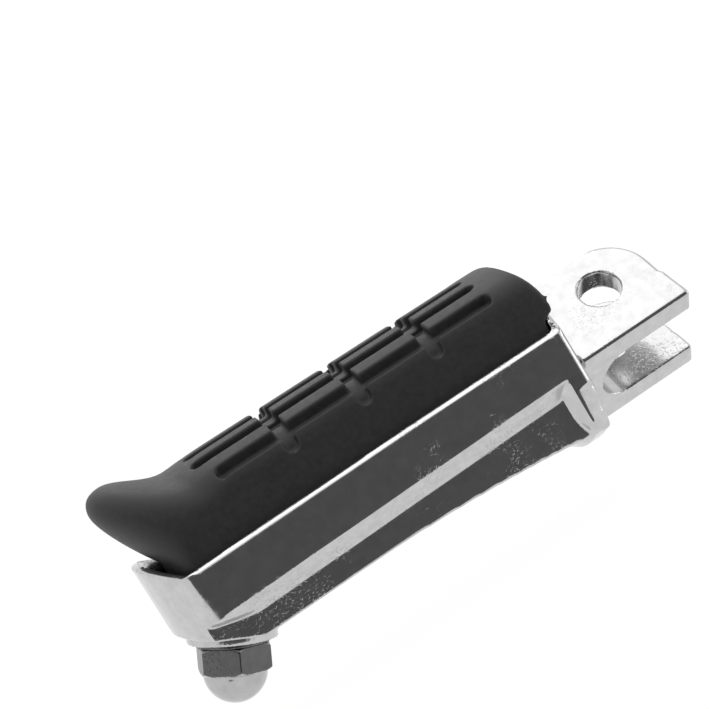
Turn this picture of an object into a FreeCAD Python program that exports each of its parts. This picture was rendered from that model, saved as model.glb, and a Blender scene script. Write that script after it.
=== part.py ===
"""Folding rider foot peg: chrome-plated casting, rubber tread pad and toe feeler nut.

Frame: origin at the centre of the hinge-pin bore, midway between the two ears.
+X runs from the hinge towards the toe, +Z is the normal of the tread, +Y = Z x X.
The hinge axis lies in the YZ plane, tilted HINGE_TILT degrees up from +Y.
All sizes are in millimetres.
"""
import FreeCAD, Part
import math
import os

V = FreeCAD.Vector

# --- hinge clevis -----------------------------------------------------------
HINGE_TILT = 44.0          # hinge axis above +Y, degrees
BORE_X = -0.7              # bore centre, measured from the bar's own datum
BORE_Z = 1.8
PIN_R = 5.0                # hinge-pin bore radius
CLEVIS_HALF = 12.7         # half width over both ears, along the hinge axis
SLOT_HALF = 7.0            # half width of the slot between the ears
SLOT_ROOT_X = 11.0         # deepest point of the round slot root
EAR_TOP = 11.1             # ear edge above the bore
EAR_BOTTOM = -14.0         # stop edge below the bore
EAR_NOSE_R = 11.0          # radius of the ear's outer end
NOTCH_V = -4.7             # height of the small step on the ear's end
NOTCH_H = 0.7              # height over which the step runs out
NOTCH_STEP = 0.5           # how far the stop corner stands proud of the end
STOP_CORNER_X = -14.4      # far corner of the stop edge

# --- tray and keel of the casting -------------------------------------------
FLANGE_X = 16.0            # outer face of the end flange
BAR_HALF = 20.3            # half width over the tray's side walls
TOE_CORNER_X = 111.5       # where the side walls end
TOE_X = 119.2              # middle of the bulged toe face
RIM_Z = 10.2               # top of the rim
RIM_DROP_X = 55.0          # from here on the rim drops towards the toe
RIM_TOE_Z = 9.5            # top of the rim at the toe's corners
RIM_T = 1.8                # rim thickness
FLOOR_Z = 4.0              # tray floor that the pad sits on
WALL_BOTTOM_Z = -0.2       # lower edge of the side walls at the flange
WALL_DROP = 0.014          # how much that edge drops per millimetre towards the toe
SHOULDER_H = 3.8           # height of the sloping shoulder
KEEL_INSET = 3.0           # keel face in from the side wall
KEEL_TOE_INSET = 0.3       # keel's toe behind the tray's toe face
KEEL_TOP_Z = -2.6          # top of the keel where its toe corners stand free
KEEL_BOTTOM_Z = -10.5      # underside of the keel
FLARE_END_X = 85.0         # where the keel starts to deepen towards the hinge
FLARE_SAG = 0.9            # extra depth of that curve at its middle
FLARE_BOTTOM_Z = -15.0     # underside of the keel at the flange
FLANGE_SIDE_Z = -15.0      # bottom of the flange at its sides
FLANGE_MID_Z = -18.6       # bottom of the flange in the middle
FLANGE_CORNER_R = 4.5      # rounded bottom corners of the flange
ARCH_Z = 19.6              # top of the arch over the clevis
TOE_ARCH_Z = 14.4          # top of the arched toe wall
FLANGE_T_SIDE = 4.2        # flange thickness at the side faces
FLANGE_T_KEEL = 7.0        # flange thickness where it meets the keel face
FLANGE_LAP = 1.0           # how far the tray and keel start behind the flange's face

# --- edge rounding of the casting -------------------------------------------
EAR_EDGE_R = 0.8           # edges of the outer ear faces
FLANGE_EDGE_R = 0.6        # edge of the flange's outer face
TOE_CORNER_CUT = 1.5       # corner rounding of the toe at the rim
TOE_ROUND_Z = 7.0          # below this height the tray's toe corners get rounder
TOE_CORNER_CUT_LOW = 9.0   # corner rounding at the lowest level
TOE_LOW_Z = -16.0          # the lowest level
CORNER_PULL = 0.45         # how far the corner's arc is drawn out to the sharp corner

# --- toe boss and feeler ----------------------------------------------------
FEELER_TILT = 27.0         # feeler axis away from -Z, towards the toe, degrees
BOSS_C = (109.1, -10.8)    # centre of the boss face, x and z
BOSS_R = 10.0
BOSS_H = 2.6               # how far the boss stands out of the sloping toe
BOSS_LENGTH = 7.0          # boss including what is sunk into the keel
STUD_R = 5.0               # M10
STUD_HOLE_DEPTH = 10.0
STUD_END_GAP = 0.5         # left free at both ends of the stud
STUD_CHAMFER = 0.8
FEELER_WASHER_T = 0.8
FEELER_WASHER_R = 8.2
NUT_AF = 15.0              # width across flats
NUT_HEX_H = 6.0
NUT_DOME_R = 7.1
NUT_DOME_H = 6.8
NUT_THREAD_DEPTH = 7.5
NUT_CHAMFER = 1.0          # height of the turned corners of the hexagon

# --- underside pockets ------------------------------------------------------
POCKET_ROWS = ((27.0, 42.0), (45.0, 60.0), (63.0, 78.0), (81.0, 96.0))
POCKET_Y = (7.2, 14.2)
POCKET_TOP_Z = -4.0
POCKET_CORNER_R = 1.5

# --- rubber pad -------------------------------------------------------------
PAD_GAP = 0.2              # clearance between pad and rim
PAD_TOP_Z = 28.3           # crown of the tread
CROWN_R = 33.0             # crown radius across the tread
SHOULDER_R = 7.0           # radius between crown and side wall
LIP_RISE = 4.1             # how far the toe lip stands above the crown
LIP_START_X = 99.0
LIP_CREST_X = 116.0        # where the lip reaches its full height
LIP_FOOT_X = 112.0         # where the underside of the lip leaves the tray
LIP_UNDER_Z = 28.0         # height of the lip's underside at its furthest point
NOSE_X = 121.0             # furthest point of the lip
NOSE_POWER = 2.4           # bluntness of the lip's plan outline
TOE_STATIONS = (99.0, 104.0, 108.0, 112.0)
LIP_STATIONS = (112.0, 115.0, 118.0, 120.2)
SLOT_PITCH = 6.5
SLOT_COUNT = 6
TREAD_SLOT_W = 3.0
TREAD_SLOT_DEPTH = 3.2
TREAD_X = (24.7, 98.0)     # ends of the tread slots
OUTER_SLOT_SHORTER = 3.0   # the two outermost slots end earlier at the toe
GROOVE_X = (41.5, 60.0, 78.5)
GROOVE_W = 3.2
GROOVE_DEPTH = 2.4
GROOVE_HALF = 18.0         # half length of a cross groove
GROOVE_LOW_Z = 17.5        # lowest point of a cross groove at the pad's sides

# --- plate and fasteners that hold the pad ----------------------------------
SKIN_T = 1.0               # rubber under the core plate
PLATE_T = 2.0
PLATE_INSET = 3.0          # plate edge in from the rubber's side faces
PLATE_END_X = 106.0
PLATE_CORNER = 1.0
SCREW_X = (48.0, 84.0)     # M6 screws, on the centre line
SCREW_R = 3.0
SCREW_CLEAR_R = 3.3
SCREW_LENGTH = 16.0
SCREW_HEAD_R = 5.0
SCREW_HEAD_H = 6.0
SCREW_KEY_AF = 5.0
SCREW_KEY_DEPTH = 3.0
SCREW_TIP_CHAMFER = 0.6
SCREW_HEAD_CHAMFER = 0.5
SCREW_WASHER_R = 5.6
SCREW_WASHER_T = 1.2
COUNTERBORE_R = 5.9
COUNTERBORE_TOP_Z = -3.0
WELD_NUT_AF = 10.0
WELD_NUT_H = 5.0
THREAD_GAP = 0.05          # radial gap between mating threads
WASHER_GAP = 0.2           # radial gap between a washer and its screw or stud

FAR = 200.0                # longer than the peg: size of blocks used for cutting


# --- small helpers ----------------------------------------------------------
def wire(points):
    """Closed straight-sided wire through the points."""
    return Part.makePolygon(list(points) + [points[0]])


def prism(edge_wire, direction):
    """Solid made by pushing a closed wire along a direction."""
    return Part.Face(edge_wire).extrude(direction)


def arc(a, b, c):
    """Circular arc through three points."""
    return Part.Arc(a, b, c).toShape()


def line(a, b):
    return Part.LineSegment(a, b).toShape()


def cylinder(radius, start, axis, length):
    return Part.makeCylinder(radius, length, start, axis)


def hexagon(across_flats, start, axis, height, side_hint):
    """Hexagonal prism standing on start, pointing along axis."""
    axis = V(axis).normalize()
    first = (side_hint - axis * side_hint.dot(axis)).normalize()
    second = axis.cross(first)
    corner_r = across_flats / math.sqrt(3.0)
    points = []
    for i in range(6):
        a = math.radians(60.0 * i)
        points.append(start + first * (corner_r * math.cos(a)) + second * (corner_r * math.sin(a)))
    return prism(wire(points), axis * height)


def clevis_vector(u, v, s):
    """Vector given along +X (u), across the ears' height (v) and along the hinge axis (s)."""
    tilt = math.radians(HINGE_TILT)
    y = s * math.cos(tilt) - v * math.sin(tilt)
    z = s * math.sin(tilt) + v * math.cos(tilt)
    return V(u, y, z)


def clevis_point(u, v, s):
    """Point given from the bore's centre in those three directions."""
    return BORE_CENTRE + clevis_vector(u, v, s)


UP = V(0, 0, 1)
FORWARD = V(1, 0, 0)
BORE_CENTRE = V(BORE_X, 0, BORE_Z)
HINGE_AXIS = clevis_vector(0, 0, 1)
EAR_UP = clevis_vector(0, 1, 0)    # up along the ears


def export(name, shape):
    """Writes one node, moved so that the bore's centre is the origin."""
    shape = shape.translated(BORE_CENTRE * -1)
    if not shape.isValid():
        raise RuntimeError(name + " is not a valid shape")
    shape.exportStep("parts/" + name + ".step")
    print("%-26s volume %9.1f mm3  solids %d" % (name, shape.Volume, len(shape.Solids)))


def single(shape):
    """The one solid of a boolean result, with merged faces."""
    clean = shape.removeSplitter()
    return clean.Solids[0] if len(clean.Solids) == 1 else clean


def rounded(solid, radius, wanted):
    """The solid with the edges that wanted() picks rounded."""
    return solid.makeFillet(radius, [e for e in solid.Edges if wanted(e)])


# --- casting ----------------------------------------------------------------
def tray_outline(inset, z, end_x, cut):
    """Plan outline of the bar: straight sides, rounded corners and a bulged toe."""
    half = BAR_HALF - inset
    corner = V(TOE_CORNER_X - inset * 0.3, half, z)
    nose = V(TOE_X - inset, 0, z)
    radius = (half ** 2 + (nose.x - corner.x) ** 2) / (2 * (nose.x - corner.x))
    turn = math.asin(half / radius) - cut / radius
    toe_end = V(nose.x - radius + radius * math.cos(turn), radius * math.sin(turn), z)
    side_end = V(corner.x - cut, half, z)
    bend = (toe_end + side_end) * (0.5 - 0.5 * CORNER_PULL) + corner * CORNER_PULL
    back = V(end_x, half, z)

    def flip(p):
        return V(p.x, -p.y, p.z)

    return Part.Wire([
        line(flip(back), flip(side_end)),
        arc(flip(side_end), flip(bend), flip(toe_end)),
        arc(flip(toe_end), nose, toe_end),
        arc(toe_end, bend, side_end),
        line(side_end, back),
        line(back, flip(back)),
    ])


def ear_profile(s):
    """Outline of an ear seen along the hinge axis, at distance s along it."""
    centre_v = EAR_TOP - EAR_NOSE_R
    centre_u = STOP_CORNER_X + 2 * NOTCH_STEP + EAR_NOSE_R
    end_u = centre_u - EAR_NOSE_R
    diag = EAR_NOSE_R * math.sqrt(0.5)
    inside = FLANGE_X - BORE_X + 3.0
    p_top = clevis_point(inside, EAR_TOP, s)
    p_start = clevis_point(centre_u, EAR_TOP, s)
    p_mid = clevis_point(centre_u - diag, centre_v + diag, s)
    p_end = clevis_point(end_u, centre_v, s)
    p_notch_in = clevis_point(end_u, NOTCH_V, s)
    p_notch_out = clevis_point(end_u - NOTCH_STEP, NOTCH_V - NOTCH_H, s)
    p_stop = clevis_point(STOP_CORNER_X, EAR_BOTTOM, s)
    p_bottom = clevis_point(inside, EAR_BOTTOM, s)
    return Part.Wire([
        line(p_top, p_start),
        arc(p_start, p_mid, p_end),
        line(p_end, p_notch_in),
        line(p_notch_in, p_notch_out),
        line(p_notch_out, p_stop),
        line(p_stop, p_bottom),
        line(p_bottom, p_top),
    ])


def on_ear_face(edge):
    """True for an edge that lies in one of the two outer ear faces."""
    ends = [abs((v.Point - BORE_CENTRE).dot(HINGE_AXIS)) for v in edge.Vertexes]
    return min(ends) > CLEVIS_HALF - 0.01


def clevis():
    """The two ears on their common root block, before the slot and bore are cut."""
    block = prism(ear_profile(-CLEVIS_HALF), HINGE_AXIS * (2 * CLEVIS_HALF))
    return rounded(block, EAR_EDGE_R, lambda e: on_ear_face(e) and e.BoundBox.XMin < FLANGE_X)


def clevis_slot():
    """Space between the ears, with a round root."""
    reach = 30.0
    centre_x = SLOT_ROOT_X - SLOT_HALF
    down = EAR_UP * (-reach)
    corners = [(-reach, -SLOT_HALF), (centre_x, -SLOT_HALF), (centre_x, SLOT_HALF), (-reach, SLOT_HALF)]
    block = wire([clevis_point(u, 0, s) + down for u, s in corners])
    root = cylinder(SLOT_HALF, clevis_point(centre_x, 0, 0) + down, EAR_UP, 2 * reach)
    return prism(block, EAR_UP * (2 * reach)).fuse(root)


def flange_outline(x, shrink):
    """End flange seen along X: arched top and bottom, rounded bottom corners."""
    half = BAR_HALF - shrink
    side = FLANGE_SIDE_Z + shrink
    r = FLANGE_CORNER_R
    diag = r * (1 - math.sqrt(0.5))
    left_top = V(x, -half, RIM_Z)
    right_top = V(x, half, RIM_Z)
    left_a = V(x, -half, side + r)
    left_b = V(x, -half + r, side)
    right_a = V(x, half, side + r)
    right_b = V(x, half - r, side)
    return Part.Wire([
        arc(left_top, V(x, 0, ARCH_Z), right_top),
        line(right_top, right_a),
        arc(right_a, V(x, half - diag, side + diag), right_b),
        arc(right_b, V(x, 0, FLANGE_MID_Z + shrink), left_b),
        arc(left_b, V(x, -half + diag, side + diag), left_a),
        line(left_a, left_top),
    ])


def keel():
    """Keel under the tray: inset faces, bottom that deepens towards the hinge."""
    start = FLANGE_X + FLANGE_LAP
    y0 = -(BAR_HALF - KEEL_INSET)
    top = KEEL_TOP_Z
    a = V(start, y0, top)
    b = V(start, y0, FLARE_BOTTOM_Z)
    c = V(FLARE_END_X, y0, KEEL_BOTTOM_Z)
    flare_mid = V(0.5 * (start + FLARE_END_X), y0, KEEL_BOTTOM_Z - FLARE_SAG)
    d = V(TOE_X + 5.0, y0, KEEL_BOTTOM_Z)
    e = V(TOE_X + 5.0, y0, top)
    side = Part.Wire([line(a, b), arc(b, flare_mid, c), line(c, d), line(d, e), line(e, a)])
    return prism(side, V(0, -2 * y0, 0))


def feeler_axis():
    tilt = math.radians(FEELER_TILT)
    return V(math.sin(tilt), 0, -math.cos(tilt))


def boss_face_centre():
    return V(BOSS_C[0], 0, BOSS_C[1])


def below_toe_slope():
    """Everything under the sloping underside of the toe, just above the boss face."""
    size = FAR / 2
    axis = feeler_axis()
    along = V(axis.z * -1, 0, axis.x)
    base = boss_face_centre() - axis * BOSS_H - along * size
    points = [
        base + V(0, -size, 0),
        base + along * (2 * size) + V(0, -size, 0),
        base + along * (2 * size) + V(0, size, 0),
        base + V(0, size, 0),
    ]
    return prism(wire(points), axis * size)


def underside_pockets():
    """Shallow core pockets either side of the centre rib."""
    pockets = []
    y_in, y_out = POCKET_Y
    for x0, x1 in POCKET_ROWS:
        for side in (-1, 1):
            y0 = y_in if side > 0 else -y_out
            box = Part.makeBox(x1 - x0, y_out - y_in, FAR, V(x0, y0, POCKET_TOP_Z - FAR))
            vertical = [e for e in box.Edges if abs(e.Vertexes[0].X - e.Vertexes[1].X) < 0.01
                        and abs(e.Vertexes[0].Y - e.Vertexes[1].Y) < 0.01]
            pockets.append(box.makeFillet(POCKET_CORNER_R, vertical))
    return pockets[0].multiFuse(pockets[1:])


def bar_block(inset, z, height, end_x):
    """Upright block on the bar's plan outline."""
    return prism(tray_outline(inset, z, end_x, TOE_CORNER_CUT - inset * 0.5), V(0, 0, height))


def toe_limit(inset):
    """Bound on the tray or its inside: the toe's corners are cut back more lower down."""
    low = tray_outline(inset, TOE_LOW_Z, FLANGE_X, TOE_CORNER_CUT_LOW)
    middle = tray_outline(inset, TOE_ROUND_Z, FLANGE_X, TOE_CORNER_CUT)
    high = tray_outline(inset, TOE_ARCH_Z + 1.0, FLANGE_X, TOE_CORNER_CUT)
    return Part.makeLoft([low, middle, high], True, True)


def below_rim():
    """Everything under the rim and under the arched top of the toe wall."""
    start = TOE_CORNER_X - 4.0
    end = TOE_X + 5.0
    side = -FAR / 2
    level = prism(wire([V(FLANGE_X, side, -FAR), V(FLANGE_X, side, RIM_Z), V(RIM_DROP_X, side, RIM_Z),
                        V(end, side, RIM_TOE_Z), V(end, side, -FAR)]), V(0, FAR, 0))
    foot = BAR_HALF - RIM_T
    left = V(start, -foot, RIM_TOE_Z)
    right = V(start, foot, RIM_TOE_Z)
    low_left = V(start, -foot, -FAR)
    low_right = V(start, foot, -FAR)
    hump = Part.Wire([arc(left, V(start, 0, TOE_ARCH_Z), right), line(right, low_right),
                      line(low_right, low_left), line(low_left, left)])
    return level.fuse(prism(hump, V(FAR, 0, 0)))


def over_clevis_end():
    """Space over the clevis end of the tray, where nothing stands above the rim."""
    return Part.makeBox(TOE_CORNER_X / 2, FAR, FAR, V(FLANGE_X + RIM_T, -FAR / 2, RIM_Z))


def tray_room():
    """Inside of the tray, open at the top."""
    above_toe = Part.makeBox(FAR, FAR, FAR, V(0, -FAR / 2, TOE_ARCH_Z))
    room = bar_block(RIM_T, FLOOR_Z, FAR, FLANGE_X + RIM_T)
    return room.common(toe_limit(RIM_T).fuse(above_toe))


def shoulder():
    """Slope between the tray's side walls and the narrower keel, dropping towards the toe."""
    start = FLANGE_X + FLANGE_LAP
    low_half = BAR_HALF - KEEL_INSET
    low_z = WALL_BOTTOM_Z - SHOULDER_H
    top_z = 0.5 * FLOOR_Z
    section = [V(start, -BAR_HALF, top_z), V(start, -BAR_HALF, WALL_BOTTOM_Z), V(start, -low_half, low_z),
               V(start, low_half, low_z), V(start, BAR_HALF, WALL_BOTTOM_Z), V(start, BAR_HALF, top_z)]
    return prism(wire(section), V(FAR, 0, -FAR * WALL_DROP))


def end_flange():
    """Flange at the hinge end, with its slopes down to the keel's faces."""
    plate = prism(flange_outline(FLANGE_X, 0), V(FLANGE_T_SIDE, 0, 0))
    plate = rounded(plate, FLANGE_EDGE_R, lambda e: e.BoundBox.XMax < FLANGE_X + 0.01)
    slope = Part.makeLoft([flange_outline(FLANGE_X + FLANGE_T_SIDE, 0),
                           flange_outline(FLANGE_X + FLANGE_T_KEEL, KEEL_INSET)], True, True)
    below_wall = Part.makeBox(FAR, FAR, FAR, V(FLANGE_X - 1, -FAR / 2, WALL_BOTTOM_Z - FAR))
    return plate.fuse(slope.common(below_wall))


def step_bar():
    """The whole chrome casting: clevis, flange, tray, keel and toe boss."""
    limit = toe_limit(0)
    tray = bar_block(0, WALL_BOTTOM_Z, TOE_ARCH_Z - WALL_BOTTOM_Z, FLANGE_X + FLANGE_LAP)
    tray = tray.common(limit).common(below_rim())
    boss_root = boss_face_centre() - feeler_axis() * BOSS_LENGTH
    boss = cylinder(BOSS_R, boss_root, feeler_axis(), BOSS_LENGTH)
    sharp_limit = bar_block(KEEL_TOE_INSET, -FAR / 2, FAR, FLANGE_X)
    lower = keel().common(sharp_limit).fuse(shoulder().common(limit)).cut(below_toe_slope()).fuse(boss)

    body = tray.fuse(lower).fuse(end_flange()).fuse(clevis())
    body = body.cut(over_clevis_end())
    body = body.cut(tray_room())
    body = body.cut(clevis_slot())
    body = body.cut(cylinder(PIN_R, clevis_point(0, 0, -FAR / 2), HINGE_AXIS, FAR))
    body = body.cut(underside_pockets())
    for x in SCREW_X:
        body = body.cut(cylinder(SCREW_CLEAR_R, V(x, 0, -FAR / 2), UP, FAR))
        body = body.cut(cylinder(COUNTERBORE_R, V(x, 0, COUNTERBORE_TOP_Z - FAR), UP, FAR))
    stud_hole_start = boss_face_centre() - feeler_axis() * STUD_HOLE_DEPTH
    body = body.cut(cylinder(STUD_R, stud_hole_start, feeler_axis(), FAR))
    return single(body)


# --- rubber pad -------------------------------------------------------------
def crown_section(x, half, top, bottom, shoulder_r):
    """Cross-section of the pad: crowned top, rounded shoulders, straight sides."""
    crown_c = top - CROWN_R
    sc_y = half - shoulder_r
    sc_z = crown_c + math.sqrt((CROWN_R - shoulder_r) ** 2 - sc_y ** 2)
    reach = CROWN_R / (CROWN_R - shoulder_r)
    join = V(x, sc_y * reach, crown_c + (sc_z - crown_c) * reach)
    half_turn = 0.5 * math.atan2(join.z - sc_z, join.y - sc_y)
    bend = V(x, sc_y + shoulder_r * math.cos(half_turn), sc_z + shoulder_r * math.sin(half_turn))
    right = V(x, half, sc_z)

    def flip(p):
        return V(p.x, -p.y, p.z)

    return Part.Wire([
        line(flip(V(x, half, bottom)), V(x, half, bottom)),
        line(V(x, half, bottom), right),
        arc(right, bend, join),
        arc(join, V(x, 0, top), flip(join)),
        arc(flip(join), flip(bend), flip(right)),
        line(flip(right), flip(V(x, half, bottom))),
    ])


def lip_top(x):
    """Height of the tread's centre line along the pad."""
    t = min(max((x - LIP_START_X) / (LIP_CREST_X - LIP_START_X), 0.0), 1.0)
    return PAD_TOP_Z + LIP_RISE * t * t * (3 - 2 * t)


def plan_half_width(x, half):
    """Half width of the rounded toe at x."""
    if x <= LIP_START_X:
        return half
    t = (x - LIP_START_X) / (NOSE_X - LIP_START_X)
    return half * math.sqrt(max(1.0 - t ** NOSE_POWER, 0.0))


def toe_underside(x):
    """Underside of the overhanging lip, above the rim."""
    return RIM_Z + (x - LIP_FOOT_X) * (LIP_UNDER_Z - RIM_Z) / (NOSE_X - LIP_FOOT_X)


def pad_station(x, half, bottom):
    """Cross-section of the pad's toe at x."""
    width = plan_half_width(x, half)
    return crown_section(x, width, lip_top(x), bottom, SHOULDER_R * width / half)


def tread_slot(y, x0, x1):
    """Long slot with round ends, cut down into the crown."""
    r = TREAD_SLOT_W / 2.0
    crown = PAD_TOP_Z - CROWN_R + math.sqrt(CROWN_R ** 2 - y ** 2)
    lean = math.atan2(y, math.sqrt(CROWN_R ** 2 - y ** 2))
    out = V(0, math.sin(lean), math.cos(lean))
    side = V(0, out.z, -out.y)
    base = V(0, y, crown) - out * TREAD_SLOT_DEPTH
    a = base + V(x0 + r, 0, 0)
    b = base + V(x1 - r, 0, 0)
    track = Part.Wire([
        line(a + side * r, b + side * r),
        arc(b + side * r, b + V(r, 0, 0), b - side * r),
        line(b - side * r, a - side * r),
        arc(a - side * r, a - V(r, 0, 0), a + side * r),
    ])
    return prism(track, out * (2 * TREAD_SLOT_DEPTH))


def cross_groove(x):
    """Groove across the tread that follows the crown."""
    x0 = x - GROOVE_W / 2.0
    top = PAD_TOP_Z - GROOVE_DEPTH
    floor = prism(crown_section(x0, GROOVE_HALF, top, 0.0, SHOULDER_R), V(GROOVE_W, 0, 0))
    slab = Part.makeBox(GROOVE_W, 2 * GROOVE_HALF, FAR, V(x0, -GROOVE_HALF, GROOVE_LOW_Z))
    return slab.cut(floor)


def core_plate():
    z = FLOOR_Z + SKIN_T
    inset = RIM_T + PAD_GAP + PLATE_INSET
    blank = prism(tray_outline(inset, z, FLANGE_X + inset, PLATE_CORNER), V(0, 0, PLATE_T))
    toe_trim = Part.makeBox(FAR, FAR, FAR, V(PLATE_END_X, -FAR / 2, 0))
    blank = blank.cut(toe_trim)
    for x in SCREW_X:
        blank = blank.cut(cylinder(SCREW_CLEAR_R, V(x, 0, z), UP, PLATE_T))
    return single(blank)


def weld_nut(x):
    start = V(x, 0, FLOOR_Z + SKIN_T + PLATE_T)
    nut = hexagon(WELD_NUT_AF, start, UP, WELD_NUT_H, FORWARD)
    return single(nut.cut(cylinder(SCREW_R, start, UP, WELD_NUT_H)))


def tread_pad():
    half = BAR_HALF - RIM_T - PAD_GAP
    start = FLANGE_X + RIM_T + PAD_GAP
    body = prism(crown_section(start, half, PAD_TOP_Z, FLOOR_Z, SHOULDER_R), V(LIP_START_X - start, 0, 0))
    toe = Part.makeLoft([pad_station(x, half, FLOOR_Z) for x in TOE_STATIONS], True, False)
    lip = Part.makeLoft([pad_station(x, half, toe_underside(x)) for x in LIP_STATIONS], True, False)
    body = body.fuse(toe).fuse(lip)
    trim_z = TOE_ARCH_Z + PAD_GAP
    in_tray = bar_block(RIM_T + PAD_GAP, FLOOR_Z, trim_z - FLOOR_Z, start)
    in_tray = in_tray.common(toe_limit(RIM_T + PAD_GAP))
    above = Part.makeBox(FAR, FAR, FAR, V(0, -FAR / 2, trim_z))
    body = body.common(in_tray).fuse(body.common(above))
    slots = []
    for i in range(SLOT_COUNT):
        y = (i - (SLOT_COUNT - 1) / 2.0) * SLOT_PITCH
        outermost = i in (0, SLOT_COUNT - 1)
        slots.append(tread_slot(y, TREAD_X[0], TREAD_X[1] - (OUTER_SLOT_SHORTER if outermost else 0.0)))
    for x in GROOVE_X:
        slots.append(cross_groove(x))
    for cutter in slots:
        body = body.cut(cutter)
    plate_z = FLOOR_Z + SKIN_T
    body = body.cut(core_plate())
    for x in SCREW_X:
        body = body.cut(hexagon(WELD_NUT_AF, V(x, 0, plate_z), UP, PLATE_T + WELD_NUT_H, FORWARD))
        body = body.cut(cylinder(SCREW_CLEAR_R, V(x, 0, FLOOR_Z), UP, SKIN_T))
    return single(body)


# --- fasteners --------------------------------------------------------------
def pad_screw(x):
    """Socket-head screw M6, put in from below."""
    seat = COUNTERBORE_TOP_Z - SCREW_WASHER_T
    head_bottom = seat - SCREW_HEAD_H
    shank = cylinder(SCREW_R - THREAD_GAP, V(x, 0, seat), UP, SCREW_LENGTH)
    tip = max(shank.Edges, key=lambda e: e.BoundBox.ZMin)
    shank = shank.makeChamfer(SCREW_TIP_CHAMFER, [tip])
    head = cylinder(SCREW_HEAD_R, V(x, 0, head_bottom), UP, SCREW_HEAD_H)
    rim = min(head.Edges, key=lambda e: e.BoundBox.ZMax)
    head = head.makeChamfer(SCREW_HEAD_CHAMFER, [rim])
    key = hexagon(SCREW_KEY_AF, V(x, 0, head_bottom), UP, SCREW_KEY_DEPTH, FORWARD)
    return single(head.fuse(shank).cut(key))


def pad_screw_washer(x):
    start = V(x, 0, COUNTERBORE_TOP_Z - SCREW_WASHER_T)
    ring = cylinder(SCREW_WASHER_R, start, UP, SCREW_WASHER_T)
    return ring.cut(cylinder(SCREW_R + WASHER_GAP, start, UP, SCREW_WASHER_T))


def feeler_stud():
    start = boss_face_centre() - feeler_axis() * (STUD_HOLE_DEPTH - STUD_END_GAP)
    length = STUD_HOLE_DEPTH + FEELER_WASHER_T + NUT_THREAD_DEPTH - 2 * STUD_END_GAP
    stud = cylinder(STUD_R - THREAD_GAP, start, feeler_axis(), length)
    ends = [e for e in stud.Edges if len(e.Vertexes) == 1]
    return stud.makeChamfer(STUD_CHAMFER, ends)


def feeler_washer():
    ring = cylinder(FEELER_WASHER_R, boss_face_centre(), feeler_axis(), FEELER_WASHER_T)
    return ring.cut(cylinder(STUD_R + WASHER_GAP, boss_face_centre(), feeler_axis(), FEELER_WASHER_T))


def feeler_dome_nut():
    """Low acorn nut: hexagon with chamfered corners under a dome."""
    axis = feeler_axis()
    start = boss_face_centre() + axis * FEELER_WASHER_T
    flats = hexagon(NUT_AF, start, axis, NUT_HEX_H, V(0, 1, 0))
    end_r = NUT_AF / 2.0 + 0.2
    full_r = NUT_AF / math.sqrt(3.0) + 0.4
    middle = start + axis * NUT_CHAMFER
    far_end = start + axis * (NUT_HEX_H - NUT_CHAMFER)
    turned = Part.makeCone(end_r, full_r, NUT_CHAMFER, start, axis)
    turned = turned.fuse(cylinder(full_r, middle, axis, NUT_HEX_H - 2 * NUT_CHAMFER))
    turned = turned.fuse(Part.makeCone(full_r, end_r, NUT_CHAMFER, far_end, axis))
    hex_body = flats.common(turned)
    top = start + axis * NUT_HEX_H
    sphere_r = (NUT_DOME_R ** 2 + NUT_DOME_H ** 2) / (2 * NUT_DOME_H)
    ball = Part.makeSphere(sphere_r, top + axis * (NUT_DOME_H - sphere_r))
    dome = ball.common(cylinder(NUT_DOME_R + 1.0, top - axis * 0.01, axis, FAR))
    body = hex_body.fuse(dome)
    return single(body.cut(cylinder(STUD_R, start, axis, NUT_THREAD_DEPTH)))


def main():
    os.makedirs("parts", exist_ok=True)
    export("step_bar", step_bar())
    export("tread_pad", tread_pad())
    export("pad_core_plate", core_plate())
    for end, x in zip(("hinge_end", "toe_end"), SCREW_X):
        export("weld_nut_" + end, weld_nut(x))
        export("pad_screw_" + end, pad_screw(x))
        export("pad_screw_washer_" + end, pad_screw_washer(x))
    export("feeler_stud", feeler_stud())
    export("feeler_washer", feeler_washer())
    export("feeler_dome_nut", feeler_dome_nut())


main()
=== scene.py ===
import math

import bmesh
import bpy
from mathutils import Matrix, Vector


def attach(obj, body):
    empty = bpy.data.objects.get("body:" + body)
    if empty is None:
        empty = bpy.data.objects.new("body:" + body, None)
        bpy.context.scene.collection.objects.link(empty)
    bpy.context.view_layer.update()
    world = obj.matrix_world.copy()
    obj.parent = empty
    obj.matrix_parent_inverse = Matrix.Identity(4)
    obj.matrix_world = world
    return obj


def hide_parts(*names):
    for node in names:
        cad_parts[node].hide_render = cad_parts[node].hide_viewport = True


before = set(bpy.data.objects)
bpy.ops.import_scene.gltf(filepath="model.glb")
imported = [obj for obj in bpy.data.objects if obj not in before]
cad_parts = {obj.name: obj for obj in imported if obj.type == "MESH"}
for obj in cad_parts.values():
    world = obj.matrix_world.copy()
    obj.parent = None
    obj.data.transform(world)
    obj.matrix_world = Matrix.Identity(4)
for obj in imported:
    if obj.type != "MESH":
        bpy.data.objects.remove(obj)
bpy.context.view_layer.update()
BODY = "root"
MM = 0.001


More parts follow.
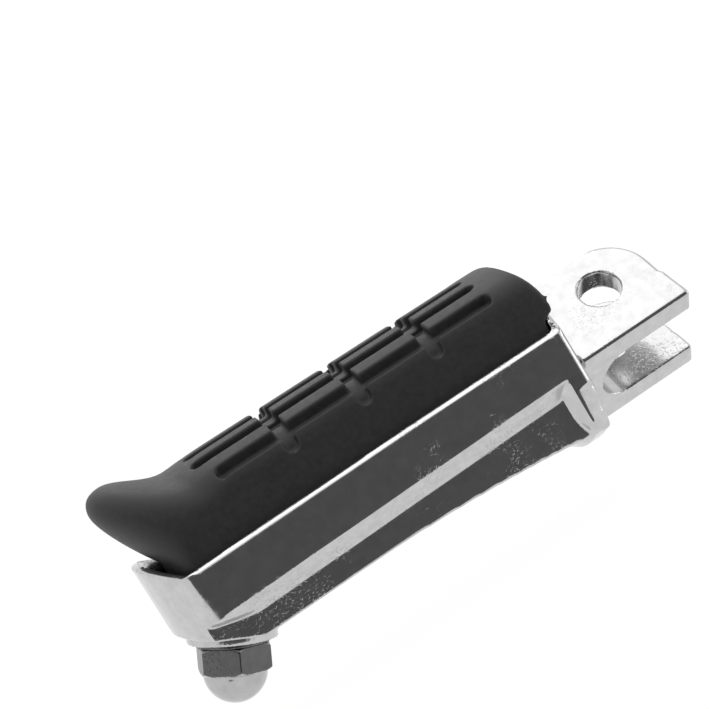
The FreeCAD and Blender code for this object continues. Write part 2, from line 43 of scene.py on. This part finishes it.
# --- sizes, in millimetres unless named otherwise ------------------------------
# The bar is described from its own datum, which lies here from the bore's centre.
BAR_DATUM = Vector((0.7, 0.0, -1.8))
HINGE_TILT = math.radians(44.0)
FLANGE_X = 16.0            # clevis-side face of the end flange
FLANGE_STRIP = 4.2         # width of the flange's slanted side below the tray
STRIP_TOP_Z = -3.4         # where that slant starts
STRIP_SLANT = 0.34         # inwards per millimetre along the bar
FLANGE_ROUND = 2.0         # rounding of the flange's edge above it
FLANGE_SHIFT = 0.8         # how far the flange's upper part leans out
CLEVIS_ROOT_X = 11.5       # where the ears start to blend into it
BAR_HALF = 20.3            # half width of the casting
RIM_Z = 10.2               # rim of the tray at the hinge end
RIM_DROP_X = 55.0          # from here on the rim drops towards the toe
RIM_DROP = 0.0101          # by this much per millimetre
RIM_T = 1.8
RIM_ROUND = 1.7            # rounding of the rim's outer edge
RIM_MAX_INSET = 1.08       # the rounding takes no more than this off the wall
RIM_FADE = 2.5             # it fades out over this length before the toe
TOE_ROUND_X = 111.0        # where the straight rim ends
KEEL_HALF = 17.3           # half width over the keel's faces
KEEL_END_X = 103.0         # from here on its top edge rises towards the toe
KEEL_END_Z = -5.6
KEEL_END_RISE = 0.3        # per millimetre
KEEL_BOTTOM_Z = -10.5
KEEL_FLARE = 4.5           # how much deeper the keel is at the hinge end
KEEL_FLARE_X = 85.0        # where it starts to deepen

PAD_X0 = 17.3              # clevis end of the rubber
PAD_MID_X = 60.0
PAD_HALF = 18.2
PAD_BOTTOM = 4.1
PAD_TOP = 28.3
CROWN_R = 33.0
SHOULDER_R = 7.0
TOE_FRONT_X = 113.2        # front of the rubber where it leaves the tray
TOE_CORNER_X = 105.8       # where its straight sides end
TOE_FULLNESS = 3.0         # 2 for an elliptical toe in plan, more for a squarer one
END_SWELL = 2.9            # how far its clevis end swells out above the flange
END_SWELL_X = 24.7         # where the swell starts
END_BACK = 0.85            # share of the swell that is gone again at the top
END_BACK_Z = 17.0
ARCH_Z = 19.6              # top of the flange's arch
ARCH_GAP = (0.3, 1.8)      # heights above the arch between which the swell sets in
LIP_REACH = 7.9            # how far the lip stands out over the front
LIP_Z = (10.0, 24.5)       # heights between which the front leans out
LIP_LEAN_X = 94.0          # from here to the front the rubber leans out more and more
LIP_RISE = 4.6             # how far the lip stands up over the tread
LIP_RISE_X = (100.5, 110.0)
LIP_TOP_Z = (14.0, 25.0)   # only the rubber above these heights rises
LIP_SWEEP = 3.5            # how much nearer to the clevis all this starts at the sides
LIP_ROUND_Z = 22.0         # above this height the lip's front rounds back
LIP_ROUND = 1.6            # by this much at the top
LIP_CORNER_DROP = 4.0      # how much lower the lip is at its corners
LIP_DIP = 0.4              # hollow in the tread before the lip
LIP_DIP_X = 101.0
LIP_DIP_W = 4.0
SLOT_PITCH = 6.5
SLOT_COUNT = 6
SLOT_W = 3.0
SLOT_DEPTH = 3.3
SLOT_LEAN = 0.4            # 0 for slots cut straight down, 1 for square to the crown
SLOT_X = (24.7, 98.0)      # ends of the slots
OUTER_SLOT_SHORTER = 3.0
OUTER_SLOT_W = 2.5
OUTER_SLOT_DEPTH = 2.4
GROOVE_X = (41.5, 60.0, 78.5)
GROOVE_W = 3.2
GROOVE_DEPTH = 2.3
GROOVE_SIDE_DEPTH = 1.3    # how deep it is on the sides
GROOVE_END_Z = 18.6        # lower ends of the groove
CUTTER_H = 14.0            # height of a cutter above the floor of its slot
NIB_R = 0.55               # moulding flash at the corner of the clevis end
NIB_Z = 16.5
NIB_IN = Vector((0.2, -0.9, 0.0))             # its root, from the corner of the swell
NIB_RUN = Vector((-1.2, 0.9, 0.9))            # and its tip, from its root

# fineness of the meshes, and how many passes of smoothing round them
PAD_BLANK_VOXEL = 0.5
PAD_BLANK_PASSES = 240
PAD_VOXEL = 0.36
SKIN_VOXEL = 0.36
CASTING_PASSES = 12
NUT_VOXEL = 0.22
LAST_PASSES = 2

FEELER_TILT = math.radians(27.0)
FEELER_SEAT = Vector((109.5, 0.0, -11.5))     # where the nut's flats start
NUT_HEX_H = 5.8


def smoothstep(a, b, x):
    t = min(max((x - a) / (b - a), 0.0), 1.0)
    return t * t * (3.0 - 2.0 * t)


# --- mesh helpers ----------------------------------------------------------------
def link(name, mesh):
    piece = bpy.data.objects.new(name, mesh)
    bpy.context.scene.collection.objects.link(piece)
    return piece


def bake(piece):
    """Turns the piece's modifiers into plain mesh."""
    graph = bpy.context.evaluated_depsgraph_get()
    mesh = bpy.data.meshes.new_from_object(piece.evaluated_get(graph))
    piece.modifiers.clear()
    old = piece.data
    piece.data = mesh
    bpy.data.meshes.remove(old)


def remesh(piece, voxel):
    step = piece.modifiers.new("remesh", "REMESH")
    step.mode = "VOXEL"
    step.voxel_size = voxel * MM
    step.use_smooth_shade = True
    bake(piece)


def smooth(piece, times, weight=None):
    """Rounds the edges; weight(x, y, z) in millimetres says how much at each point."""
    step = piece.modifiers.new("smooth", "SMOOTH")
    step.factor = 0.5
    step.iterations = times
    if weight is not None:
        group = piece.vertex_groups.new(name="soft")
        levels = {}
        for vertex in piece.data.vertices:
            level = round(weight(*(vertex.co / MM)), 1)
            levels.setdefault(level, []).append(vertex.index)
        for level, indices in levels.items():
            group.add(indices, level, "REPLACE")
        step.vertex_group = "soft"
    bake(piece)
    piece.vertex_groups.clear()


def cut(piece, cutters, operation="DIFFERENCE"):
    for cutter in cutters:
        step = piece.modifiers.new("cut", "BOOLEAN")
        step.operation = operation
        step.solver = "EXACT"
        step.object = cutter
    bake(piece)
    for cutter in cutters:
        mesh = cutter.data
        bpy.data.objects.remove(cutter)
        bpy.data.meshes.remove(mesh)


def to_bar():
    """From the row frame to the bar's own datum."""
    return Matrix.Translation(-BAR_DATUM * MM)


def to_row(piece):
    """Puts a finished piece into the row frame."""
    piece.data.transform(Matrix.Translation(BAR_DATUM * MM))


def skin_of(node_name, voxel, piece_name):
    """A rounded copy of a CAD node's surface, in the bar's own datum."""
    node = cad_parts[node_name]
    graph = bpy.context.evaluated_depsgraph_get()
    mesh = bpy.data.meshes.new_from_object(node.evaluated_get(graph))
    mesh.transform(to_bar() @ node.matrix_world)
    mesh.materials.clear()
    mesh.name = piece_name
    piece = link(piece_name, mesh)
    remesh(piece, voxel)
    return piece


def loft(name, rings):
    """Closed mesh through rings of points, in millimetres."""
    bm = bmesh.new()
    loops = [[bm.verts.new(Vector(p) * MM) for p in ring] for ring in rings]
    count = len(rings[0])
    for a, b in zip(loops, loops[1:]):
        for i in range(count):
            j = (i + 1) % count
            bm.faces.new((a[i], a[j], b[j], b[i]))
    bm.faces.new(list(reversed(loops[0])))
    bm.faces.new(loops[-1])
    bmesh.ops.recalc_face_normals(bm, faces=bm.faces)
    mesh = bpy.data.meshes.new(name)
    bm.to_mesh(mesh)
    bm.free()
    return link(name, mesh)


# --- rubber pad --------------------------------------------------------------------
def crown_height(y, top):
    return top - CROWN_R + math.sqrt(CROWN_R ** 2 - y ** 2)


def pad_section(x, half, top, shoulder_r):
    """Ring round the pad at x: crowned top, rounded shoulders, straight sides."""
    centre_z = top - CROWN_R
    sc_y = half - shoulder_r
    sc_z = centre_z + math.sqrt((CROWN_R - shoulder_r) ** 2 - sc_y ** 2)
    lean = math.atan2(sc_z - centre_z, sc_y)
    right = [(x, half, PAD_BOTTOM), (x, half, 0.5 * (PAD_BOTTOM + sc_z))]
    turns = 8
    for i in range(turns + 1):
        a = lean * i / turns
        right.append((x, sc_y + shoulder_r * math.cos(a), sc_z + shoulder_r * math.sin(a)))
    spans = 10
    for i in range(1, spans):
        a = lean + (math.pi / 2 - lean) * i / spans
        right.append((x, CROWN_R * math.cos(a), centre_z + CROWN_R * math.sin(a)))
    left = [(px, -py, pz) for px, py, pz in reversed(right)]
    return right + [(x, 0.0, top)] + left


def pad_plan(z):
    """Plan outline of the rubber: straight sides and a rounded toe."""
    half = PAD_HALF
    ring = [(PAD_X0 - 5.0, half, z), (PAD_MID_X, half, z)]
    steps = 28
    for i in range(steps + 1):
        a = math.pi / 2 - math.pi * i / steps
        c, s = math.cos(a), math.sin(a)
        x = TOE_CORNER_X + (TOE_FRONT_X - TOE_CORNER_X) * abs(c) ** (2 / TOE_FULLNESS)
        y = half * math.copysign(abs(s) ** (2 / TOE_FULLNESS), s)
        ring.append((x, y, z))
    ring += [(PAD_MID_X, -half, z), (PAD_X0 - 5.0, -half, z)]
    return ring


def shape_toe(piece):
    """Leans the rubber's front outwards and turns its top up into the lip."""
    for vertex in piece.data.vertices:
        x, y, z = vertex.co / MM
        side = min(abs(y) / PAD_HALF, 1.0)
        at = x + LIP_SWEEP * side ** 3
        near = smoothstep(LIP_LEAN_X, TOE_FRONT_X - 1.0, at)
        rise = smoothstep(LIP_RISE_X[0], LIP_RISE_X[1], at)
        dip = math.exp(-((at - LIP_DIP_X) / LIP_DIP_W) ** 2)
        high = smoothstep(LIP_TOP_Z[0], LIP_TOP_Z[1], z)
        lean = LIP_REACH * smoothstep(LIP_Z[0], LIP_Z[1], z) * near * (1.0 - side ** 2)
        back = min(max((z - LIP_ROUND_Z) / (PAD_TOP - LIP_ROUND_Z), 0.0), 1.0)
        lean -= LIP_ROUND * (1.0 - math.sqrt(1.0 - back ** 2)) * near
        vertex.co.x += lean * MM
        up = (LIP_RISE * rise - LIP_DIP * dip) * (1.0 - 0.5 * side ** 2)
        vertex.co.z += (up - LIP_CORNER_DROP * side ** 3 * near) * high * MM


def shape_clevis_end(piece):
    """Lets the rubber's end swell out over the arched top of the flange."""
    for vertex in piece.data.vertices:
        x, y, z = vertex.co / MM
        if x < END_SWELL_X:
            arch = ARCH_Z - (ARCH_Z - RIM_Z) * (y / BAR_HALF) ** 2
            level = smoothstep(arch + ARCH_GAP[0], arch + ARCH_GAP[1], z)
            level *= 1.0 - END_BACK * smoothstep(END_BACK_Z, PAD_TOP, z)
            vertex.co.x -= END_SWELL * level * (1.0 - smoothstep(PAD_X0, END_SWELL_X, x)) * MM


def tread_slot(y, x0, x1, width, depth):
    """Cutter for a long slot with round ends that follows the crown."""
    r = width / 2.0
    a = SLOT_LEAN * math.asin(y / CROWN_R)
    out = Vector((0, math.sin(a), math.cos(a)))
    across = Vector((0, out.z, -out.y))
    base = Vector((0, y, crown_height(y, PAD_TOP))) - out * depth
    outline = []
    turns = 10
    for centre, start in ((x1 - r, -math.pi / 2), (x0 + r, math.pi / 2)):
        for i in range(turns + 1):
            t = start + math.pi * i / turns
            outline.append(base + Vector((centre + r * math.cos(t), 0, 0)) + across * (r * math.sin(t)))
    return loft("slot", [outline, [p + out * CUTTER_H for p in outline]])


def cross_groove(x):
    """Cutter for a groove across the tread that runs down the sides to round ends."""
    r = GROOVE_W / 2.0
    clear_y = PAD_HALF + 3.0
    clear_z = PAD_TOP + CUTTER_H
    ends = []
    steps = 12
    for i in range(steps + 1):
        u = -r * math.cos(math.pi * i / steps)
        end_z = GROOVE_END_Z + r - math.sqrt(max(r * r - u * u, 0.0))
        ring = pad_section(x + u, PAD_HALF - GROOVE_SIDE_DEPTH, PAD_TOP - GROOVE_DEPTH, SHOULDER_R)
        floor = [(px, py, max(pz, end_z)) for px, py, pz in ring]
        ends.append(floor + [(x + u, -clear_y, end_z), (x + u, -clear_y, clear_z),
                             (x + u, clear_y, clear_z), (x + u, clear_y, end_z)])
    return loft("groove", ends)


def flash_nib():
    """Small moulding flash left at the corner of the clevis end."""
    root = Vector((PAD_X0 - END_SWELL, PAD_HALF, NIB_Z)) + NIB_IN
    rings = []
    for i in range(4):
        t = i / 3.0
        size = NIB_R * (1.0 - 0.7 * t)
        ring = []
        for k in range(6):
            a = k * math.pi / 3
            ring.append(root + NIB_RUN * t + Vector((0.3 * math.cos(a), math.cos(a), math.sin(a))) * size)
        rings.append(ring)
    return loft("nib", rings)


def make_pad():
    stations = [PAD_X0, PAD_MID_X, 100.0, 130.0]
    pad = loft("rubber_tread", [pad_section(x, PAD_HALF, PAD_TOP, SHOULDER_R) for x in stations])
    cut(pad, [loft("plan", [pad_plan(PAD_BOTTOM - 1), pad_plan(50.0)])], "INTERSECT")
    remesh(pad, PAD_BLANK_VOXEL)

    def soft(x, y, z):
        """The toe's upper edges are well rounded, those of the clevis end a little."""
        toe = smoothstep(98.0, 106.0, x)
        toe *= (0.12 + 0.88 * smoothstep(15.0, 23.0, z)) * smoothstep(PAD_BOTTOM + 3.0, RIM_Z + 4.0, z)
        end = 0.18 * (1.0 - smoothstep(20.0, 24.0, x)) * smoothstep(14.0, 20.0, z)
        return max(toe, end)

    smooth(pad, PAD_BLANK_PASSES, soft)
    shape_toe(pad)
    shape_clevis_end(pad)
    cutters = []
    for i in range(SLOT_COUNT):
        y = (i - (SLOT_COUNT - 1) / 2.0) * SLOT_PITCH
        if i in (0, SLOT_COUNT - 1):
            end_x = SLOT_X[1] - OUTER_SLOT_SHORTER
            cutters.append(tread_slot(y, SLOT_X[0], end_x, OUTER_SLOT_W, OUTER_SLOT_DEPTH))
        else:
            cutters.append(tread_slot(y, SLOT_X[0], SLOT_X[1], SLOT_W, SLOT_DEPTH))
    cutters += [cross_groove(x) for x in GROOVE_X]
    cut(pad, cutters)
    cut(pad, [flash_nib()], "UNION")
    remesh(pad, PAD_VOXEL)
    smooth(pad, LAST_PASSES)
    return pad


# --- casting -----------------------------------------------------------------------
def rim_height(x):
    return RIM_Z - RIM_DROP * max(x - RIM_DROP_X, 0.0)


def keel_bottom(x):
    run = max(KEEL_FLARE_X - x, 0.0) / (KEEL_FLARE_X - FLANGE_X)
    return KEEL_BOTTOM_Z - KEEL_FLARE * run ** 2


def rim_inset(x, y, z):
    """Rounds the outer edge of the tray's rim."""
    rise = z - (rim_height(x) - RIM_ROUND)
    wall = (abs(y) - (BAR_HALF - RIM_T)) / RIM_T
    if rise <= 0 or wall <= 0 or not FLANGE_X + 1.0 < x < TOE_ROUND_X:
        return 0.0
    inset = RIM_ROUND - math.sqrt(max(RIM_ROUND ** 2 - rise ** 2, 0.0))
    inset *= 1.0 - smoothstep(TOE_ROUND_X - RIM_FADE, TOE_ROUND_X, x)
    return min(inset, RIM_MAX_INSET) * wall


def flange_inset(x, y, z):
    """Slants the flange's edge below the tray and rounds it above."""
    if not FLANGE_X - 0.5 < x < FLANGE_X + FLANGE_STRIP:
        return 0.0
    outer = smoothstep(BAR_HALF - 4.0, BAR_HALF - 0.5, abs(y))
    low = 1.0 - smoothstep(STRIP_TOP_Z - 1.0, STRIP_TOP_Z, z)
    slant = STRIP_SLANT * (FLANGE_X + FLANGE_STRIP - x)
    run = min(max(FLANGE_X + FLANGE_ROUND - x, 0.0), FLANGE_ROUND)
    curve = FLANGE_ROUND - math.sqrt(FLANGE_ROUND ** 2 - run ** 2)
    return (slant * low + curve * (1.0 - low)) * outer


def keel_inset(x, y, z):
    """Cuts the keel's side back below a line that rises towards the toe."""
    if x <= KEEL_END_X or abs(y) <= KEEL_HALF:
        return 0.0
    line = KEEL_END_Z + KEEL_END_RISE * (x - KEEL_END_X)
    return (abs(y) - KEEL_HALF) * (1.0 - smoothstep(line - 0.2, line + 1.2, z))


def flange_lean(x, z):
    """Moves the flange's clevis face out, except near the keel."""
    if not CLEVIS_ROOT_X < x < FLANGE_X + 5.0:
        return 0.0
    level = smoothstep(CLEVIS_ROOT_X, FLANGE_X - 1.0, x)
    level *= 1.0 - smoothstep(FLANGE_X + 1.0, FLANGE_X + 5.0, x)
    return FLANGE_SHIFT * level * smoothstep(-10.0, -5.0, z)


def make_casting():
    skin = skin_of("step_bar", SKIN_VOXEL, "bar_skin")

    def soft(x, y, z):
        """The toe below the rim and the keel's lower edges are rounded most."""
        toe = 0.6 * smoothstep(106.0, 110.0, x) * (1.0 - smoothstep(RIM_Z - 4.0, RIM_Z - 1.0, z))
        edge = FLANGE_X + 8.0 < x < 112.0 and abs(y) > 15.0
        low = 1.0 - smoothstep(keel_bottom(x) + 0.8, keel_bottom(x) + 2.0, z) if edge else 0.0
        return max(0.2, toe, low)

    smooth(skin, CASTING_PASSES, soft)
    for vertex in skin.data.vertices:
        x, y, z = vertex.co / MM
        inward = rim_inset(x, y, z) + flange_inset(x, y, z) + keel_inset(x, y, z)
        vertex.co.y -= math.copysign(inward, y) * MM
        vertex.co.x -= flange_lean(x, z) * MM
    smooth(skin, LAST_PASSES)
    return skin


# --- materials ---------------------------------------------------------------------
SAND_DEPTH = 0.00008       # metres


def new_material(name):
    material = bpy.data.materials.new(name)
    material.use_nodes = True
    tree = material.node_tree
    shader = next(n for n in tree.nodes if n.type == "BSDF_PRINCIPLED")
    return material, tree, shader


def add(tree, kind, **settings):
    node = tree.nodes.new(kind)
    for key, value in settings.items():
        if key in node.inputs:
            node.inputs[key].default_value = value
        else:
            setattr(node, key, value)
    return node


def object_noise(tree, scale, detail=3.0, roughness=0.55):
    place = add(tree, "ShaderNodeTexCoord")
    texture = add(tree, "ShaderNodeTexNoise", Scale=scale, Detail=detail, Roughness=roughness)
    tree.links.new(place.outputs["Object"], texture.inputs["Vector"])
    return texture


def ramp(tree, source, stops):
    node = add(tree, "ShaderNodeValToRGB")
    elements = node.color_ramp.elements
    while len(elements) < len(stops):
        elements.new(0.5)
    for element, (position, grey) in zip(elements, stops):
        element.position = position
        element.color = (grey, grey, grey, 1.0)
    tree.links.new(source, node.inputs["Fac"])
    return node


def bump(tree, shader, source, strength, distance, previous=None):
    node = add(tree, "ShaderNodeBump", Strength=strength, Distance=distance)
    tree.links.new(source, node.inputs["Height"])
    if previous is not None:
        tree.links.new(previous.outputs["Normal"], node.inputs["Normal"])
    tree.links.new(node.outputs["Normal"], shader.inputs["Normal"])
    return node


def plated(name, grey, rough, grain):
    """Chrome plate over a slightly sandy casting."""
    material, tree, shader = new_material(name)
    shader.inputs["Metallic"].default_value = 1.0
    tone = object_noise(tree, 420.0, 5.0)
    colour = ramp(tree, tone.outputs["Fac"], [(0.3, grey * 0.86), (0.7, grey)])
    tree.links.new(colour.outputs["Color"], shader.inputs["Base Color"])
    gloss = ramp(tree, object_noise(tree, 300.0, 5.0).outputs["Fac"], [(0.35, rough), (0.75, rough + 0.10)])
    tree.links.new(gloss.outputs["Color"], shader.inputs["Roughness"])
    sand = ramp(tree, object_noise(tree, 1500.0, 2.0, 0.6).outputs["Fac"], [(0.56, 0.0), (0.66, 1.0)])
    first = bump(tree, shader, sand.outputs["Color"], grain, SAND_DEPTH)
    patches = ramp(tree, object_noise(tree, 60.0, 3.0, 0.6).outputs["Fac"],
                   [(0.48, 0.1 * grain), (0.62, grain)])
    tree.links.new(patches.outputs["Color"], first.inputs["Strength"])
    waves = object_noise(tree, 160.0, 2.0)
    bump(tree, shader, waves.outputs["Fac"], 0.03, 0.0002, first)
    return material


def rubber(name):
    material, tree, shader = new_material(name)
    shader.inputs["Specular IOR Level"].default_value = 0.35
    tone = object_noise(tree, 900.0, 5.0, 0.65)
    base = ramp(tree, tone.outputs["Fac"], [(0.3, 0.021), (0.72, 0.034)])
    place = add(tree, "ShaderNodeTexCoord")
    dust = add(tree, "ShaderNodeTexVoronoi", Scale=150.0)
    tree.links.new(place.outputs["Object"], dust.inputs["Vector"])
    speck = ramp(tree, dust.outputs["Distance"], [(0.035, 1.0), (0.05, 0.0)])
    patch = ramp(tree, object_noise(tree, 70.0, 2.0).outputs["Fac"], [(0.55, 0.0), (0.62, 1.0)])
    both = add(tree, "ShaderNodeMath", operation="MULTIPLY")
    tree.links.new(speck.outputs["Color"], both.inputs[0])
    tree.links.new(patch.outputs["Color"], both.inputs[1])
    mix = add(tree, "ShaderNodeMix", data_type="RGBA")
    tree.links.new(both.outputs["Value"], mix.inputs["Factor"])
    colour_b = [s for s in mix.inputs if s.name == "B" and s.type == "RGBA"][0]
    colour_a = [s for s in mix.inputs if s.name == "A" and s.type == "RGBA"][0]
    tree.links.new(base.outputs["Color"], colour_a)
    colour_b.default_value = (0.30, 0.30, 0.30, 1.0)
    colour_out = [s for s in mix.outputs if s.type == "RGBA"][0]
    tree.links.new(colour_out, shader.inputs["Base Color"])
    gloss = ramp(tree, tone.outputs["Fac"], [(0.3, 0.50), (0.7, 0.66)])
    tree.links.new(gloss.outputs["Color"], shader.inputs["Roughness"])
    fine = object_noise(tree, 3200.0, 3.0, 0.7)
    bump(tree, shader, fine.outputs["Fac"], 0.25, 0.00008)
    return material


def steel(name, grey):
    material, tree, shader = new_material(name)
    shader.inputs["Metallic"].default_value = 1.0
    tone = object_noise(tree, 700.0, 4.0)
    colour = ramp(tree, tone.outputs["Fac"], [(0.3, grey * 0.75), (0.7, grey)])
    tree.links.new(colour.outputs["Color"], shader.inputs["Base Color"])
    gloss = ramp(tree, tone.outputs["Fac"], [(0.3, 0.28), (0.7, 0.46)])
    tree.links.new(gloss.outputs["Color"], shader.inputs["Roughness"])
    bump(tree, shader, tone.outputs["Fac"], 0.2, 0.0001)
    return material


CHROME = plated("cast_chrome", 0.57, 0.12, 0.5)
EAR_CHROME = plated("ear_chrome", 0.50, 0.16, 0.4)
NUT_CHROME = plated("nut_chrome", 0.48, 0.10, 0.1)
NUT_FLATS = plated("nut_flats", 0.13, 0.24, 1.0)
RUBBER = rubber("black_rubber")
STEEL = steel("plain_steel", 0.42)
ZINC = steel("zinc_plate", 0.66)


def paint(piece, material):
    piece.data.materials.clear()
    piece.data.materials.append(material)


def paint_flats(nut, material):
    """The hexagon's flats get their own finish."""
    nut.data.materials.append(material)
    axis = Vector((math.sin(FEELER_TILT), 0.0, -math.cos(FEELER_TILT)))
    for face in nut.data.polygons:
        along = (face.center / MM - FEELER_SEAT).dot(axis)
        if along < NUT_HEX_H and abs(face.normal.dot(axis)) < 0.5:
            face.material_index = 1


def paint_ears(skin, material):
    """The ears' machined outer faces are a little duller."""
    skin.data.materials.append(material)
    axis = Vector((0.0, math.cos(HINGE_TILT), math.sin(HINGE_TILT)))
    for face in skin.data.polygons:
        if face.center.x / MM < FLANGE_X and abs(face.normal.dot(axis)) > 0.96:
            face.material_index = 1


# --- the object ------------------------------------------------------------------
pad = make_pad()
to_row(pad)
paint(pad, RUBBER)
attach(pad, BODY)
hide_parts("tread_pad")

casting = make_casting()
to_row(casting)
paint(casting, CHROME)
paint_ears(casting, EAR_CHROME)
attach(casting, BODY)
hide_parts("step_bar")

dome_nut = skin_of("feeler_dome_nut", NUT_VOXEL, "dome_nut")
smooth(dome_nut, LAST_PASSES)
paint(dome_nut, NUT_CHROME)
paint_flats(dome_nut, NUT_FLATS)
to_row(dome_nut)
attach(dome_nut, BODY)
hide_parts("feeler_dome_nut")

washer = skin_of("feeler_washer", NUT_VOXEL, "plain_washer")
smooth(washer, LAST_PASSES)
to_row(washer)
paint(washer, NUT_FLATS)
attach(washer, BODY)
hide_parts("feeler_washer")

# Hidden pieces keep their CAD mesh, with broken edges.
EDGE_BREAK = 0.15
KEPT = {"pad_core_plate": (STEEL, "bonded_steel"), "feeler_stud": (ZINC, "zinc_fastener")}
for end in ("hinge_end", "toe_end"):
    KEPT["weld_nut_" + end] = (STEEL, "bonded_steel")
    KEPT["pad_screw_" + end] = (ZINC, "zinc_fastener")
    KEPT["pad_screw_washer_" + end] = (ZINC, "zinc_fastener")
for name, (material, slot_name) in KEPT.items():
    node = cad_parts[name]
    edge = node.modifiers.new("edges", "BEVEL")
    edge.width = EDGE_BREAK * MM
    edge.segments = 2
    edge.limit_method = "ANGLE"
    paint(node, material)

# --- camera, in metres -------------------------------------------------------------
CAMERA_AT = Vector((0.1300, 0.3424, 0.0625))
CAMERA_FORWARD = Vector((-0.21583, -0.97068, -0.10580))
CAMERA_RIGHT = Vector((-0.82125, 0.23907, -0.51807))
camera = bpy.data.objects.new("camera", bpy.data.cameras.new("camera"))
bpy.context.scene.collection.objects.link(camera)
bpy.context.scene.camera = camera
camera.data.lens = 80.9
camera.data.sensor_width = 36.0
camera.data.clip_start = 0.01
camera.data.clip_end = 20.0
camera.location = CAMERA_AT
back = -CAMERA_FORWARD.normalized()
up = back.cross(CAMERA_RIGHT).normalized()
camera.rotation_mode = "QUATERNION"
camera.rotation_quaternion = Matrix((up.cross(back), up, back)).transposed().to_quaternion()

# --- staging -----------------------------------------------------------------------
world = bpy.data.worlds.new("studio")
bpy.context.scene.world = world
world.use_nodes = True
sky = next(n for n in world.node_tree.nodes if n.type == "BACKGROUND")
sky.inputs["Color"].default_value = (1.0, 1.0, 1.0, 1.0)
sky.inputs["Strength"].default_value = 1.0
bpy.context.scene.view_settings.view_transform = "Standard"


def card(name, centre, facing, width, height, grey):
    """A plain matt card, centre and size in metres."""
    bpy.ops.mesh.primitive_plane_add(size=1.0)
    plane = bpy.context.object
    plane.name = name
    plane.scale = (width, height, 1.0)
    plane.location = centre
    plane.rotation_mode = "QUATERNION"
    plane.rotation_quaternion = Vector(facing).to_track_quat("Z", "Y")
    material, _, shader = new_material(name + "_paint")
    shader.inputs["Base Color"].default_value = (grey, grey, grey, 1.0)
    shader.inputs["Roughness"].default_value = 1.0
    shader.inputs["Specular IOR Level"].default_value = 0.0
    plane.data.materials.append(material)
    return plane


def soft_light(name, direction, distance, size, radiance):
    """Square soft light aimed at the object from a direction, in metres."""
    lamp = bpy.data.lights.new(name, "AREA")
    lamp.size = size
    lamp.energy = radiance * math.pi * size * size
    place = bpy.data.objects.new(name, lamp)
    bpy.context.scene.collection.objects.link(place)
    toward = Vector(direction).normalized()
    place.location = toward * distance
    place.rotation_mode = "QUATERNION"
    place.rotation_quaternion = toward.to_track_quat("Z", "Y")
    place.visible_camera = False


soft_light("top_light", direction=(-0.2, 0.1, 1.0), distance=1.2, size=1.1, radiance=1.15)
soft_light("back_light", direction=(-0.15, -0.62, 0.75), distance=1.4, size=0.8, radiance=2.0)
soft_light("side_light", direction=(-0.95, 0.3, -0.05), distance=1.2, size=0.45, radiance=2.2)

# The chrome on the near side mirrors this card, which is why it looks dark.
dark = card("dark_card", centre=(0.06, 0.6, 0.02), facing=(0.0, -1.0, 0.0), width=1.2, height=1.0, grey=0.10)
dark.visible_camera = False

# The floor glows, so that it stays pale and its shadow faint under the object.
floor = card("floor", centre=(0.05, -0.35, -0.033), facing=(0.0, 0.0, 1.0), width=2.0, height=0.8, grey=0.04)
floor_shader = floor.data.materials[0].node_tree.nodes["Principled BSDF"]
floor_shader.inputs["Emission Color"].default_value = (1.0, 1.0, 1.0, 1.0)
floor_shader.inputs["Emission Strength"].default_value = 0.97
